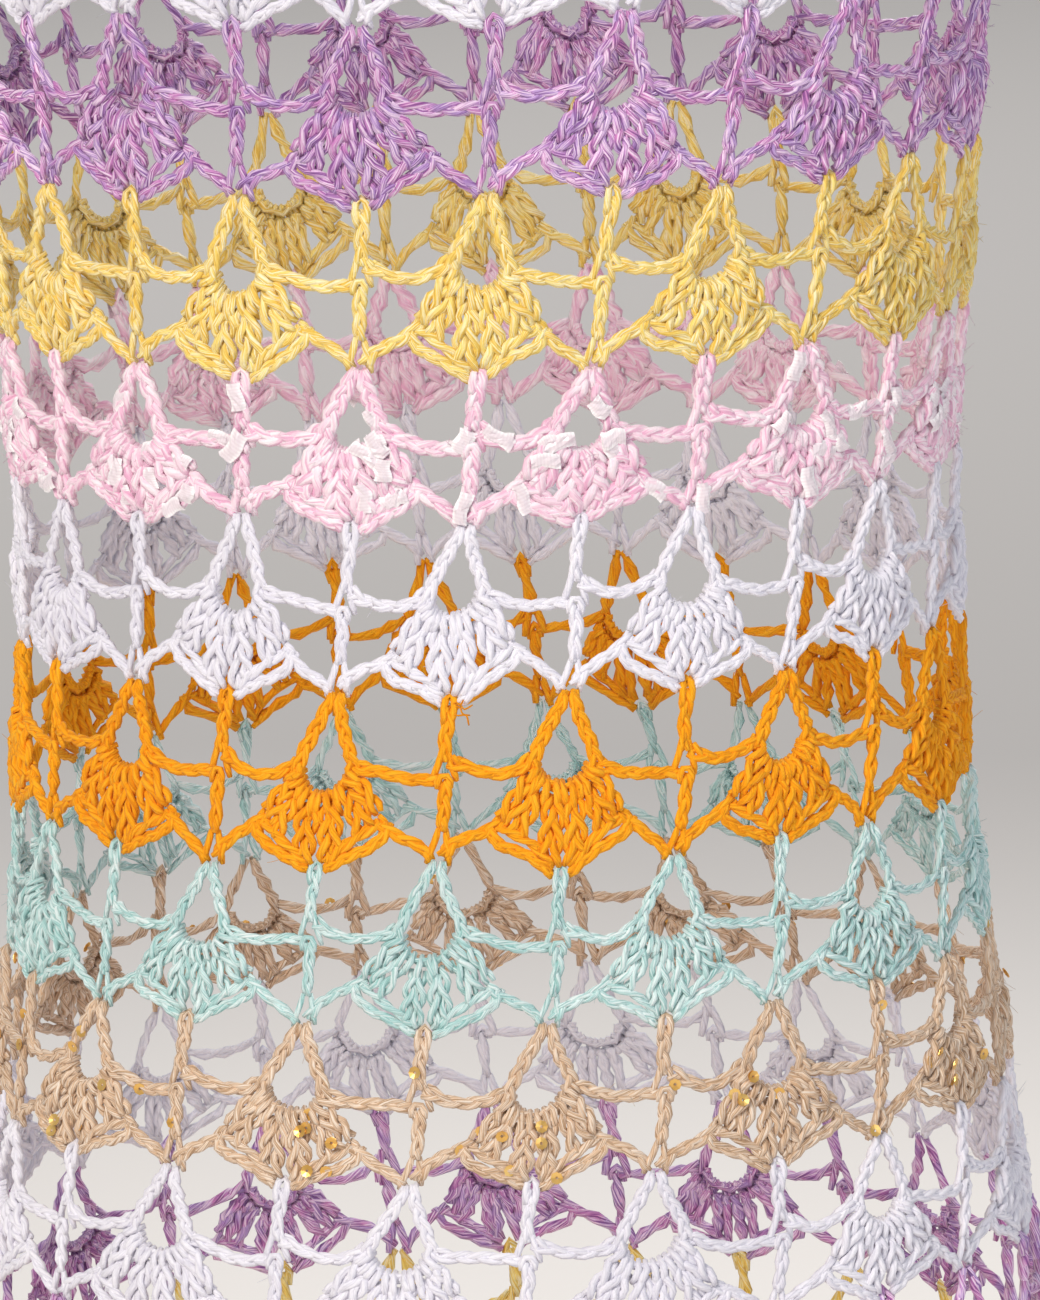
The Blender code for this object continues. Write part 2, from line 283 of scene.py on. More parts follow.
def repeat_of_stitches(step, strands, swing, seed):
    """All strands of one repeat. swing scales how far the strands stand from the middle of their plait."""
    chance = np.random.default_rng(seed)
    made = []

    def run(points, half, depth, turn, lift, widen=(1.0, 1.0, 1.0), count=strands, thick=1.0):
        """A plait, each a little looser or tighter than the last."""
        turn = turn * chance.uniform(0.92, 1.08)
        half = half * swing * chance.uniform(0.94, 1.06)
        start = chance.uniform(0, 6.28)
        made.extend(plait(points, step, count, half, depth, turn, start, lift, widen, thick))

    def single(points, lift, thick=1.0, least=4):
        """One strand by itself, without a swing."""
        made.extend(plait(points, step, 1, 0.0, 0.0, 1.0, 0.0, lift, thick=thick, least=least))

    run(LEG, *LEG_PLAIT, LEG_LIFT, RIGHT_LEG_WIDE)
    run(mirrored(LEG), *LEG_PLAIT, LEG_LIFT, LEFT_LEG_WIDE)
    run(UPPER_BAR_RIGHT, *UPPER_BAR_PLAIT, (0.1, -0.1, -0.1, -0.2), (1.9, 1.1, 1.0, 1.0, 1.0, 0.9))
    run(UPPER_BAR_LEFT, *UPPER_BAR_PLAIT, (0.0, -0.1, -0.1, 0.0), (2.0, 1.1, 1.0, 1.0, 1.0, 2.1))
    run(LOWER_BAR_RIGHT, *LOWER_BAR_PLAIT, (-0.2, -0.1, -0.2, -0.6), (1.4, 1.0, 1.0, 0.7))
    run(LOWER_BAR_LEFT, *LOWER_BAR_PLAIT, (-0.2, -0.1, -0.2, -0.2), (1.4, 1.0, 1.0, 1.6))
    for post, foot_drop in ((UPPER_POST, UPPER_FOOT_DROP), (LOWER_POST, LOWER_FOOT_DROP)):
        run(post, *POST_PLAIT, (0.5, 0.4, 0.2, 0.1), (1.0, 1.1, 1.0, 0.8))
        single(moved(LEFT_FOOT, POST, foot_drop), (0.3, 0.2, -0.2, -1.2))
        single(moved(mirrored(LEFT_FOOT), POST, foot_drop), (-0.1, 0.0, -0.2, -1.2))
    # five points at least, so that one of them is the top of the loop
    single(moved(POST_LOOP, POST, 0.0), (0.6, 1.2, 1.1, -0.6, 1.1, 1.2, 0.6), least=5)
    single(moved(POST_LOOP[1:-1], POST, LOWER_LOOP_DROP), (0.6, 1.0, 0.6, 1.0, 0.6), least=5)
    for half_of in (tuple, mirrored):
        run(half_of(OUTER_EDGE), *OUTER_EDGE_PLAIT, (-0.2, 0.3, 0.4, 0.4, 0.2), (1.0, 1.1, 1.0, 1.0, 0.8))
        run(half_of(INNER_EDGE), *INNER_EDGE_PLAIT, (0.0, 0.8, 0.9, 0.8, 0.0), count=2)

    def spoke(angle, reach):
        """A point of the fan that far out from the rim."""
        on_rim, way = math.radians(angle), math.radians(angle * FAN_SPREAD)
        return (RIM_RADIUS * math.sin(on_rim) + reach * math.sin(way),
                RIM_DROP + RIM_RADIUS * math.cos(on_rim) + reach * math.cos(way))

    run(tuple(spoke(angle, 0.4) for angle in RIM_ANGLES), *RIM_PLAIT, (-0.8, -0.6, -0.8), count=2)
    for angle in WRAP_ANGLES:
        angle += chance.uniform(-3, 3)
        length = WRAP_RUN + chance.uniform(-1.0, 1.6)
        sway = chance.uniform(-6, 6)
        over_rim = [spoke(angle, reach) for reach in WRAP_REACH]
        down_fan = [spoke(angle + sway, reach) for reach in (length / 2, length)]
        single(over_rim + down_fan, WRAP_LIFT, WRAP_THICK)
    for side in (1, -1):
        for number, (angle, reach, turned) in enumerate(HEADS):
            reach += chance.uniform(-0.6, 0.6)
            angle, turned = (side * (value + chance.uniform(-2, 2)) for value in (angle, turned))
            points = tuple(spoke(angle + (turned - angle) * t, HEAD_START + t * (reach - HEAD_START))
                           for t in (0.0, 0.3, 0.65, 1.0))
            half, depth, turn = HEAD_PLAIT
            hand = side if number % 2 else -side
            run(points, half, depth, hand * turn, HEAD_LIFT, HEAD_WIDE, count=2, thick=HEAD_THICK)
    return made


# Yarn as mesh: each strand is a thin tube swept along its points, closed at both ends. Its own UV map holds
# the millimetres along the strand and the share of a turn round it, which the twist of the plies follows.
END_TAPER = 0.72
SHADE_STEP, SHADE_SPREAD = 0.618, 0.04      # strands of a repeat differ a little in shade


def placed(name, data):
    """An object of its own for a mesh, a light or a camera, in the scene."""
    made = bpy.data.objects.new(name, data)
    bpy.context.scene.collection.objects.link(made)
    return made


class Yarn:
    """Strands gathered for one object."""

    def __init__(self):
        self.points, self.quads, self.caps, self.quad_uv, self.cap_uv, self.shade = [], [], [], [], [], []
        self.count = 0

    def add(self, paths, outs, radius, sides, shades):
        """Tubes along paths of shape (strand, point, 3), with the way out of the fabric at each point."""
        strands, length = paths.shape[:2]
        way = unit(np.gradient(paths, axis=1))
        side = unit(np.cross(way, outs))
        up = np.cross(side, way)
        angle = 2 * math.pi * np.arange(sides) / sides
        taper = np.ones(length)
        taper[[0, -1]] = END_TAPER
        spread = radius * taper[None, :, None, None]
        up_share, side_share = np.cos(angle)[:, None], np.sin(angle)[:, None]
        tube = paths[:, :, None] + spread * (up_share * up[:, :, None] + side_share * side[:, :, None])
        at = self.count + np.arange(strands * length * sides).reshape(strands, length, sides)
        self.points.append(tube.reshape(-1, 3))
        self.shade.append(np.broadcast_to(shades[:, None, None], at.shape).reshape(-1))
        self.count += at.size
        here, there = at[:, :-1], at[:, 1:]
        quads = np.stack([here, np.roll(here, -1, 2), np.roll(there, -1, 2), there], axis=-1)
        self.quads.append(quads.reshape(-1, 4))
        run = run_along(paths) * 1000
        round_at = np.arange(sides) / sides
        u0 = np.broadcast_to(run[:, :-1, None], here.shape)
        u1 = np.broadcast_to(run[:, 1:, None], here.shape)
        v0 = np.broadcast_to(round_at, here.shape)
        v1 = v0 + 1 / sides
        self.quad_uv.append(np.stack([u0, v0, u0, v1, u1, v1, u1, v0], axis=-1).reshape(-1, 2))
        self.caps.append(np.concatenate([at[:, 0, ::-1], at[:, -1]]))
        ends = np.concatenate([run[:, :1].repeat(sides, 1), run[:, -1:].repeat(sides, 1)])
        self.cap_uv.append(np.stack([ends, np.broadcast_to(round_at, ends.shape)], axis=-1).reshape(-1, 2))

    def object(self, name, material):
        """The mesh object of all the strands."""
        loops = np.concatenate([q.ravel() for q in self.quads] + [c.ravel() for c in self.caps])
        sizes = np.concatenate([np.full(len(q), 4) for q in self.quads]
                               + [np.full(len(c), c.shape[1]) for c in self.caps])
        mesh = bpy.data.meshes.new(name)
        mesh.vertices.add(self.count)
        mesh.vertices.foreach_set("co", np.concatenate(self.points).astype(np.float32).ravel())
        mesh.loops.add(len(loops))
        mesh.loops.foreach_set("vertex_index", loops.astype(np.int32))
        mesh.polygons.add(len(sizes))
        starts = np.concatenate([[0], np.cumsum(sizes)[:-1]])
        mesh.polygons.foreach_set("loop_start", starts.astype(np.int32))
        mesh.update(calc_edges=True)
        uv = mesh.uv_layers.new(name="strand")
        uv.data.foreach_set("uv", np.concatenate(self.quad_uv + self.cap_uv).astype(np.float32).ravel())
        shade = mesh.attributes.new("shade", "FLOAT", "POINT")
        shade.data.foreach_set("value", np.concatenate(self.shade).astype(np.float32))
        mesh.polygons.foreach_set("use_smooth", np.ones(len(sizes), bool))
        mesh.materials.append(material)
        return placed(name, mesh)


def lay(yarn, stitches, places, joint, height, radius, sides, shades):
    """Lay a drawn repeat on the form once for each place, with its V stitch there, below a joint's drop."""
    for number, (base, off, thick) in enumerate(stitches):
        drop = joint + base[None, :, 1] / BAND_MM * height + np.zeros((len(places), 1))
        place = places[:, None] + base[None, :, 0] / REPEAT_MM + lean(drop)
        slip_across, slip_down = handmade(place, drop)
        point, out, across, down, _ = on_form(place + slip_across, drop + slip_down)
        off_m = off[None] / 1000
        path = (point + across * off_m[..., 0:1] + down * off_m[..., 1:2]
                + out * (off_m[..., 2:3] - WALL / 2))
        yarn.add(path, out, radius * thick, sides, shades + number * SHADE_STEP % 1 * SHADE_SPREAD)


# The yarns. All are soft cotton or cotton blends, 1.7 to 2.7 mm thick, crocheted with the same hook: plain
# white, a lilac of many fine threads, a glossy yellow, a soft pink with ribbon, a matte orange, a mint plied
# with white, and a sand yarn with a dry lustre. One material each, with its own plies, colours and fibre.
def linear(code, alpha=1.0):
    """A linear colour from an sRGB hex value."""
    parts = [int(code[i:i + 2], 16) / 255 for i in (1, 3, 5)]
    return tuple(p / 12.92 if p <= 0.04045 else ((p + 0.055) / 1.055) ** 2.4 for p in parts) + (alpha,)


def new_material(name, values):
    """A material whose shader has these values of its own, with its node tree and its shader."""
    material = bpy.data.materials.new(name)
    material.use_nodes = True
    shader = material.node_tree.nodes["Principled BSDF"]
    for key, value in values.items():
        shader.inputs[key].default_value = value
    return material, material.node_tree, shader


def add_node(tree, kind, inputs=None, **settings):
    """A node with its settings, and inputs that are values or other nodes' sockets."""
    made = tree.nodes.new(kind)
    for key, value in settings.items():
        setattr(made, key, value)
    for key, value in (inputs or {}).items():
        if isinstance(value, bpy.types.NodeSocket):
            tree.links.new(value, made.inputs[key])
        else:
            made.inputs[key].default_value = value
    return made


THREAD_MM = 8.0                 # one thread shows this far before it dives under the next
DRIFT_MM = 14.0                 # the dye turns from one colour to the other in 20 to 40 mm of yarn
FIBRE_MM = 0.625                # the grain of the fibres in the relief


def spun(name, colours, plies, lay_mm, groove, threads, streak, roughness, sheen, drift=None):
    """A spun yarn. colours are its deep, main and pale one, and drift is what the main one turns to here and
    there along the strand. Its plies wind round the strand once in lay_mm, with grooves between them: groove
    is both their depth in the relief and how much of the deep colour is painted into them as shade. Its finer
    threads show as streaks along it, so many round the strand."""
    deep, main, pale = (linear(code) for code in colours)
    material, tree, shader = new_material(name, {
        "Roughness": roughness, "Sheen Weight": sheen, "Sheen Roughness": 0.5, "Specular IOR Level": 0.35})
    node = partial(add_node, tree)
    strand = node("ShaderNodeUVMap", uv_map="strand")
    parts = node("ShaderNodeSeparateXYZ", {0: strand.outputs[0]})
    turns_along = node("ShaderNodeMath", {0: parts.outputs[0], 1: lay_mm}, operation="DIVIDE")
    turned = node("ShaderNodeMath", {0: parts.outputs[1], 1: turns_along.outputs[0]}, operation="ADD")
    # each ply is round: high in its middle, with a groove to the next
    wave = node("ShaderNodeMath", {0: turned.outputs[0], 1: math.pi * plies}, operation="MULTIPLY")
    swing = node("ShaderNodeMath", {0: wave.outputs[0]}, operation="SINE")
    crown = node("ShaderNodeMath", {0: swing.outputs[0]}, operation="ABSOLUTE")
    # the threads run with the plies: noise on a ring about the strand, drawn out along it
    angle = node("ShaderNodeMath", {0: turned.outputs[0], 1: 2 * math.pi}, operation="MULTIPLY")
    cosine = node("ShaderNodeMath", {0: angle.outputs[0]}, operation="COSINE")
    sine = node("ShaderNodeMath", {0: angle.outputs[0]}, operation="SINE")
    along = node("ShaderNodeMath", {0: parts.outputs[0], 1: 2 * math.pi / (THREAD_MM * threads)},
                 operation="MULTIPLY")
    shade = node("ShaderNodeAttribute", attribute_name="shade")
    own = node("ShaderNodeMath", {0: shade.outputs["Fac"], 1: 400.0, 2: along.outputs[0]},
               operation="MULTIPLY_ADD")
    on_ring = node("ShaderNodeCombineXYZ", {0: cosine.outputs[0], 1: sine.outputs[0], 2: own.outputs[0]})
    thread = node("ShaderNodeTexNoise", {"Vector": on_ring.outputs[0], "Scale": threads / (2 * math.pi),
                                         "Detail": 2.0}, noise_dimensions="3D")
    pale_share = node("ShaderNodeMapRange", {0: thread.outputs["Fac"], 1: 0.48, 2: 0.60, 3: 0.0, 4: streak})
    deep_share = node("ShaderNodeMapRange",
                      {0: thread.outputs["Fac"], 1: 0.36, 2: 0.46, 3: streak * 0.8, 4: 0.0})
    # the grooves between the plies are painted shade: the deep colour is mixed in where the crown is low
    painted_groove_shade = node("ShaderNodeMapRange", {0: crown.outputs[0], 1: 0.0, 2: 0.5, 3: groove, 4: 0.0})
    colour = main
    if drift:
        # the dye took unevenly along the yarn
        reach = node("ShaderNodeMath", {0: parts.outputs[0], 1: DRIFT_MM}, operation="DIVIDE")
        own_reach = node("ShaderNodeMath", {0: shade.outputs["Fac"], 1: 900.0, 2: reach.outputs[0]},
                         operation="MULTIPLY_ADD")
        dye = node("ShaderNodeTexNoise", {"W": own_reach.outputs[0], "Scale": 1.0, "Detail": 1.0},
                   noise_dimensions="1D")
        drift_share = node("ShaderNodeMapRange", {0: dye.outputs["Fac"], 1: 0.42, 2: 0.58})
        colour = node("ShaderNodeMix", {0: drift_share.outputs[0], 6: main, 7: linear(drift)},
                      data_type="RGBA").outputs[2]
    # over the main colour go the pale and deep streaks, the painted shade in the grooves, and each strand's
    # own random tone
    for share, over in ((pale_share.outputs[0], pale), (deep_share.outputs[0], deep),
                        (painted_groove_shade.outputs[0], deep), (shade.outputs["Fac"], deep)):
        colour = node("ShaderNodeMix", {0: share, 6: colour, 7: over}, data_type="RGBA").outputs[2]
    tree.links.new(colour, shader.inputs["Base Color"])
    # fibres, drawn as coarse as they need to be to show from where the photograph was taken
    place = node("ShaderNodeTexCoord")
    fibre = node("ShaderNodeTexNoise", {"Vector": place.outputs["Object"], "Scale": 1000 / FIBRE_MM,
                                        "Detail": 2.0}, noise_dimensions="3D")
    relief = node("ShaderNodeMath", {0: crown.outputs[0], 1: groove * 1.2, 2: fibre.outputs["Fac"]},
                  operation="MULTIPLY_ADD")
    height = node("ShaderNodeMath", {0: thread.outputs["Fac"], 1: streak * 2.0, 2: relief.outputs[0]},
                  operation="MULTIPLY_ADD")
    bump = node("ShaderNodeBump", {"Height": height.outputs[0], "Strength": 0.8, "Distance": 0.0003})
    tree.links.new(bump.outputs[0], shader.inputs["Normal"])
    return material


# The lace. Each stripe is worked in the round in one yarn, a fan over every post of the stripe above, so
# the pattern moves half a repeat each time. Front and back are apart where the solids are. The bands of
# the upper front, seen from near, have finer strands than the rest.

# the stripes from the top, which then repeat, and each one's height as a share of the mean
STRIPES = (("sand", 0.954), ("white", 0.989), ("lilac", 1.050), ("yellow", 1.046),
           ("pink", 0.909), ("white", 1.039), ("orange", 1.033), ("mint", 0.980))
joints = FIRST_BAND_DROP + BAND_HEIGHT * np.concatenate(
    [[0], np.cumsum([STRIPES[band % len(STRIPES)][1] for band in range(BANDS)])])
heights = np.diff(joints)
# each half of the tube, the place where it starts and the solid it stands for
HALVES = (("front", -3.0, "lace_front"), ("back", 3.0, "lace_back"))
NEAR_BANDS = range(1, 10)
NEAR_PLACE = 3.6                # repeats to each side of the front centre
NEAR_STEP, FAR_STEP = 2.0, 5.6  # millimetres of yarn to a segment
NEAR_SIDES, FAR_SIDES = 5, 4
FAR_THICK, FAR_SWING = 1.25, 0.8    # a far plait's two strands are thicker and closer than the near three
VARIANTS = 5
FIBRE_RADIUS = 0.00007
FIBRE_SIDES = 3


def bands_of(colour):
    """The bands worked in one yarn, from the top."""
    return [band for band in range(BANDS) if STRIPES[band % len(STRIPES)][0] == colour]


def fan_places(band, first):
    """The places of one band's V stitches on the half of the tube that begins at first."""
    return first + (0.0 if band % 2 else 0.5) + np.arange(REPEATS // 2)


def work(colour, first, radius, swing=1.0, fibres=16):
    """All of one yarn's bands on one half of the tube, and the flat size of their cloth."""
    yarn = Yarn()
    chance = np.random.default_rng(100 + int(first) + len(colour))
    near_stitches, far_stitches = (
        [repeat_of_stitches(step, strands, swing * share, chance.integers(1000)) for _ in range(VARIANTS)]
        for step, strands, share in ((NEAR_STEP, 3, 1.0), (FAR_STEP, 2, FAR_SWING)))
    widths = []
    for band in bands_of(colour):
        places = fan_places(band, first)
        joint, height = joints[band], heights[band]
        near = (np.abs(places + lean(joint)) < NEAR_PLACE) & (band in NEAR_BANDS)
        variant = chance.integers(0, VARIANTS, len(places))
        shades = np.clip(chance.normal(0.06, 0.05, len(places)), 0, 0.2)
        for kind in range(VARIANTS):
            for seen, stitches, thick, sides in ((near, near_stitches, 1.0, NEAR_SIDES),
                                                 (~near, far_stitches, FAR_THICK, FAR_SIDES)):
                chosen = seen & (variant == kind)
                if chosen.any():
                    lay(yarn, stitches[kind], places[chosen], joint, height, radius * thick / 1000, sides,
                        shades[chosen])
        if near.any():
            stray_fibres(yarn, near_stitches, places[near], joint, height, radius / 1000, fibres, chance)
        repeat = on_form(np.array([first + REPEATS / 4]), np.array([joint]))[4][0]
        widths.append(repeat * REPEATS / 2)
    return yarn, (float(np.mean(widths)), len(widths) * BAND_HEIGHT)


def spots(stitches, places, joint, height, count, chance):
    """Random points on the laid stitches, with the ways outwards, across and down there."""
    found = []
    for place in places:
        for _ in range(count):
            base, off, _ = stitches[chance.integers(len(stitches))]
            at = chance.integers(1, len(base) - 1)
            drop = joint + base[at, 1] / BAND_MM * height
            way = (base + off[:, :2])[at + 1] - (base + off[:, :2])[at - 1]
            found.append((place + base[at, 0] / REPEAT_MM + lean(drop), drop, *off[at] / 1000,
                          math.atan2(way[1], way[0])))
    place, drop, side, fall, rise, turn = np.array(found).T
    slip_across, slip_down = handmade(place, drop)
    point, out, across, down, _ = on_form(place + slip_across, drop + slip_down)
    centre = point + across * side[:, None] + down * fall[:, None] + out * (rise - WALL / 2)[:, None]
    along = across * np.cos(turn)[:, None] + down * np.sin(turn)[:, None]
    return centre, out, across, down, along


def stray_fibres(yarn, variants, places, joint, height, radius, fibres, chance):
    """Short single fibres that stand off the yarn."""
    stitches = variants[chance.integers(len(variants))]
    centre, out, across, down, _ = spots(stitches, places, joint, height, fibres, chance)
    turn = chance.uniform(0, 2 * math.pi, (len(centre), 1))
    way = across * np.cos(turn) + down * np.sin(turn)
    bend = np.cross(way, out) * chance.uniform(-1, 1, (len(centre), 1))
    rise = chance.uniform(0.2, 1.2, (len(centre), 1))
    run = np.linspace(0, 1, 5)[None, :, None] * chance.uniform(0.0015, 0.0036, (len(centre), 1, 1))
    curl = (run * 260) ** 2 * 0.0009
    path = (centre[:, None] + out[:, None] * (radius * 0.7 + run * rise[:, None])
            + way[:, None] * run + bend[:, None] * curl)
    outs = np.cross(way, bend + out * 0.01)[:, None] + np.zeros_like(path)
    yarn.add(path, outs, FIBRE_RADIUS, FIBRE_SIDES, np.zeros(len(centre)))


def hang(yarn, name, material, node):
    """Make one half of a colour's stripes, in place of the solid half tube."""
    piece = yarn.object(name, material)
    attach(piece, "root")
    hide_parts(node)


# Sand stripes: a dry cotton with a slight lustre, carrying small gold sequins on its thread. The first of
# them starts from the straight top edge, three rounds of close stitches, and the last is the hem.
SAND_RADIUS = 1.03
TOP_EDGE_ROUNDS = (-9.5, -5.7, -1.9)        # millimetres below the first joint
TOP_EDGE_STEP = 3.0
TOP_EDGE_PLAIT = (1.3, 0.7, 16.0)
HEM_LINKS = (((-3.8, 45.6), (-1.4, 47.6), (1.4, 47.6), (3.8, 45.6)),
             ((POST - 4.6, 43.8), (POST - 1.6, 45.6), (POST + 1.6, 45.6), (POST + 4.2, 42.8)))
HEM_STEP = 1.6
HEM_PLAIT = (0.9, 0.6, 8)
EDGE_SHADE = 0.05
SEQUINS = 8                                 # on one repeat
SEQUIN_RADIUS = 0.0018
SEQUIN_HOLE = 0.00045
SEQUIN_SIDES = 8
SEQUIN_LIFT = 0.0006
SEQUIN_TILT = 0.45
# its section: the cupped front from the rim to the hole, and the back
SEQUIN_PROFILE = (
    (SEQUIN_RADIUS, 0.00016), (SEQUIN_HOLE, -0.0001), (SEQUIN_HOLE, -0.0003), (SEQUIN_RADIUS, 0.0))

# a dry cotton and viscose mix: fine pale threads with a slight lustre run through the beige
sand_cotton = spun("cotton_sand_dry_lustre", ("#8f6a48", "#e7c5a3", "#fff4e6"), plies=3, lay_mm=20,
                   groove=0.4, threads=20, streak=0.8, roughness=0.65, sheen=0.12)

# metallised polyester film, punched and cupped: a warm gold gleam, darker and paler gold in patches
gold_film, gold_tree, gold_shader = new_material(
    "sequin_gold_metallised_film", {"Metallic": 0.7, "Roughness": 0.28})
gold_node = partial(add_node, gold_tree)
gold_place = gold_node("ShaderNodeTexCoord")
gold_patch = gold_node("ShaderNodeTexNoise", {"Vector": gold_place.outputs["Object"], "Scale": 120.0,
                                              "Detail": 1.0}, noise_dimensions="3D")
gold_colour = gold_node("ShaderNodeMix", {0: gold_patch.outputs["Fac"], 6: linear("#d8952e"),
                                          7: linear("#ffdf8f")}, data_type="RGBA")
gold_tree.links.new(gold_colour.outputs[2], gold_shader.inputs["Base Color"])


def trim_spots(colour, half_first, count, seed, chance):
    """Where the trims of one colour sit on half of the tube, so many to a repeat, and the ways there."""
    stitches = repeat_of_stitches(FAR_STEP, 2, 1.0, seed)
    found = [spots(stitches, fan_places(band, half_first), joints[band], heights[band], count, chance)
             for band in bands_of(colour)]
    return [np.concatenate(part) for part in zip(*found)]


def trim_piece(name, mesh, material):
    """All of one trim on half of the tube, as a piece."""
    mesh.materials.append(material)
    piece = placed(name, mesh)
    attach(piece, "root")
    return piece


def sequins(name, half_first, seed):
    """Thin cupped discs with a hole, each lying on the yarn at its own tilt."""
    chance = np.random.default_rng(seed)
    centre, out, across, down, _ = trim_spots("sand", half_first, SEQUINS, seed, chance)
    tilt = chance.uniform(-SEQUIN_TILT, SEQUIN_TILT, (2, len(centre), 1))
    axis = unit(out + across * tilt[0] + down * tilt[1])
    side = unit(np.cross(axis, down))
    other = np.cross(axis, side)
    angle = np.linspace(0, 2 * math.pi, SEQUIN_SIDES, endpoint=False)
    rim = side[:, None] * np.cos(angle)[None, :, None] + other[:, None] * np.sin(angle)[None, :, None]
    centre = centre + out * (SAND_RADIUS / 1000 + SEQUIN_LIFT)
    loops = np.stack([centre[:, None] + rim * reach + axis[:, None] * rise
                      for reach, rise in SEQUIN_PROFILE], axis=1)
    at = np.arange(loops[..., 0].size).reshape(loops.shape[:3])
    here, there = at, np.roll(at, -1, axis=1)
    faces = np.stack([here, np.roll(here, -1, 2), np.roll(there, -1, 2), there], axis=-1).reshape(-1, 4)
    mesh = bpy.data.meshes.new(name)
    mesh.from_pydata(loops.reshape(-1, 3).tolist(), [], faces.tolist())
    return trim_piece(name, mesh, gold_film)


for half, first, node in HALVES:
    yarn, flat = work("sand", first, SAND_RADIUS)
    rounds = []
    for down in TOP_EDGE_ROUNDS:
        line = ((0.0, down), (REPEAT_MM * REPEATS / 2, down))
        rounds += plait(line, TOP_EDGE_STEP, 3, *TOP_EDGE_PLAIT, down, (0.2, 0.2))
    lay(yarn, rounds, np.array([first]), FIRST_BAND_DROP, BAND_HEIGHT, SAND_RADIUS / 1000, FAR_SIDES,
        np.array([EDGE_SHADE]))
    links = []
    for points in HEM_LINKS:
        links += plait(points, HEM_STEP, 2, *HEM_PLAIT, 0.0, (0.6, 0.8, 0.6))
    lay(yarn, links, fan_places(BANDS - 1, first), joints[BANDS - 1], heights[BANDS - 1], SAND_RADIUS / 1000,
        FAR_SIDES, np.full(REPEATS // 2, EDGE_SHADE))
    trims = [sequins(f"gold_sequins_{half}", first, 21 + int(first))]
    hang(yarn, f"sand_stripes_{half}", sand_cotton, node)


# White stripes: a plain matte cotton in three plies, worked a little tighter than most. White comes twice in
# every eight stripes, below the sand yarn and below the pink.
WHITE_RADIUS = 1.04
# combed cotton, a cool white: matte, with soft grey painted shade in the grooves between its plies
white_cotton = spun("cotton_white_matte", ("#b0adc1", "#efedf6", "#fdfcff"), plies=3, lay_mm=20, groove=0.3,
                    threads=9, streak=0.3, roughness=0.85, sheen=0.15)


def plain_stripes(colour, material, radius, swing):
    """Both halves of the stripes of a yarn that carries nothing else."""
    for half, first, node in HALVES:
        yarn, flat = work(colour, first, radius, swing)
        hang(yarn, f"{colour}_stripes_{half}", material, node)


plain_stripes("white", white_cotton, WHITE_RADIUS, swing=0.93)


# Lilac stripes: many fine shiny cotton threads in light and dark lilac, barely twisted, so that the strand
# is a little thick and its stitches are loose.
LILAC_RADIUS = 1.10
# threads dyed in several lilacs, side by side: light and dark lines along every strand, and some shine
lilac_cotton = spun("cotton_lilac_multi_thread", ("#6d3380", "#d88dca", "#ffe6fd"), plies=3, lay_mm=24,
                    groove=0.3, threads=15, streak=0.95, roughness=0.5, sheen=0.12, drift="#be9ad6")
plain_stripes("lilac", lilac_cotton, LILAC_RADIUS, swing=1.05)


# Yellow stripes: a mercerised cotton in four plies, glossy, with paler threads among the yellow. They hang
# from the lilac stripes, as each stripe is crocheted into the one above.
YELLOW_RADIUS = 1.07
# mercerised cotton: smooth and glossy, its cream threads catch the light between the yellow ones
yellow_cotton = spun("cotton_yellow_mercerised", ("#d8a22e", "#fbe482", "#fffee4"), plies=4, lay_mm=22,
                     groove=0.4, threads=16, streak=0.65, roughness=0.5, sheen=0.08, drift="#fad765")
plain_stripes("yellow", yellow_cotton, YELLOW_RADIUS, swing=1.03)


# Pink stripes: the thickest yarn, a soft loose cotton in two plies, with short flags of white satin ribbon
# caught between the plies when it was spun.
PINK_RADIUS = 1.36
PINK_FIBRES = 60
FLAGS = 11                                  # on one repeat
FLAG_LONG = 0.0080
FLAG_WIDE = 0.0042
FLAG_THICK = 0.00012
FLAG_LIFT = 0.0010
FLAG_ROWS, FLAG_COLUMNS = 6, 5

# roving, hardly spun: soft broad streaks from rose to nearly white, and a dull bloom of fibres
pink_cotton = spun("cotton_pink_soft_roving", ("#de98bd", "#fbe4ee", "#fffbfd"), plies=2, lay_mm=26,
                   groove=0.3, threads=10, streak=0.75, roughness=0.9, sheen=0.25, drift="#f7cde1")

# woven polyester satin, thin enough for the pink to show through: greyish in the middle, white at the two
# selvedges, where the fine ribs of its weft end, and smooth enough to gleam
satin, satin_tree, satin_shader = new_material(
    "ribbon_white_satin", {"Roughness": 0.30, "Sheen Weight": 0.3})
satin_node = partial(add_node, satin_tree)
satin_strand = satin_node("ShaderNodeUVMap", uv_map="strand")
satin_parts = satin_node("ShaderNodeSeparateXYZ", {0: satin_strand.outputs[0]})
satin_off = satin_node("ShaderNodeMath", {0: satin_parts.outputs[1], 1: 0.5}, operation="SUBTRACT")
satin_from_middle = satin_node("ShaderNodeMath", {0: satin_off.outputs[0]}, operation="ABSOLUTE")
satin_selvedge = satin_node("ShaderNodeMapRange", {0: satin_from_middle.outputs[0], 1: 0.22, 2: 0.42})
satin_body = satin_node("ShaderNodeMix", {0: satin_selvedge.outputs[0], 6: linear("#ebe0e6"),
                                          7: linear("#fffdfe")}, data_type="RGBA")
satin_ribs = satin_node("ShaderNodeTexWave", {"Vector": satin_strand.outputs[0], "Scale": 0.35,
                                              "Distortion": 0.4}, wave_type="BANDS", bands_direction="X")
satin_rib_share = satin_node("ShaderNodeMath", {0: satin_ribs.outputs["Fac"], 1: 0.3}, operation="MULTIPLY")
satin_colour = satin_node("ShaderNodeMix", {0: satin_rib_share.outputs[0], 6: satin_body.outputs[2],
                                            7: linear("#d9c4ce")}, data_type="RGBA")
satin_tree.links.new(satin_colour.outputs[2], satin_shader.inputs["Base Color"])
satin_bump = satin_node("ShaderNodeBump", {"Height": satin_ribs.outputs["Fac"], "Strength": 0.12,
                                           "Distance": 0.0001})
satin_tree.links.new(satin_bump.outputs[0], satin_shader.inputs["Normal"])


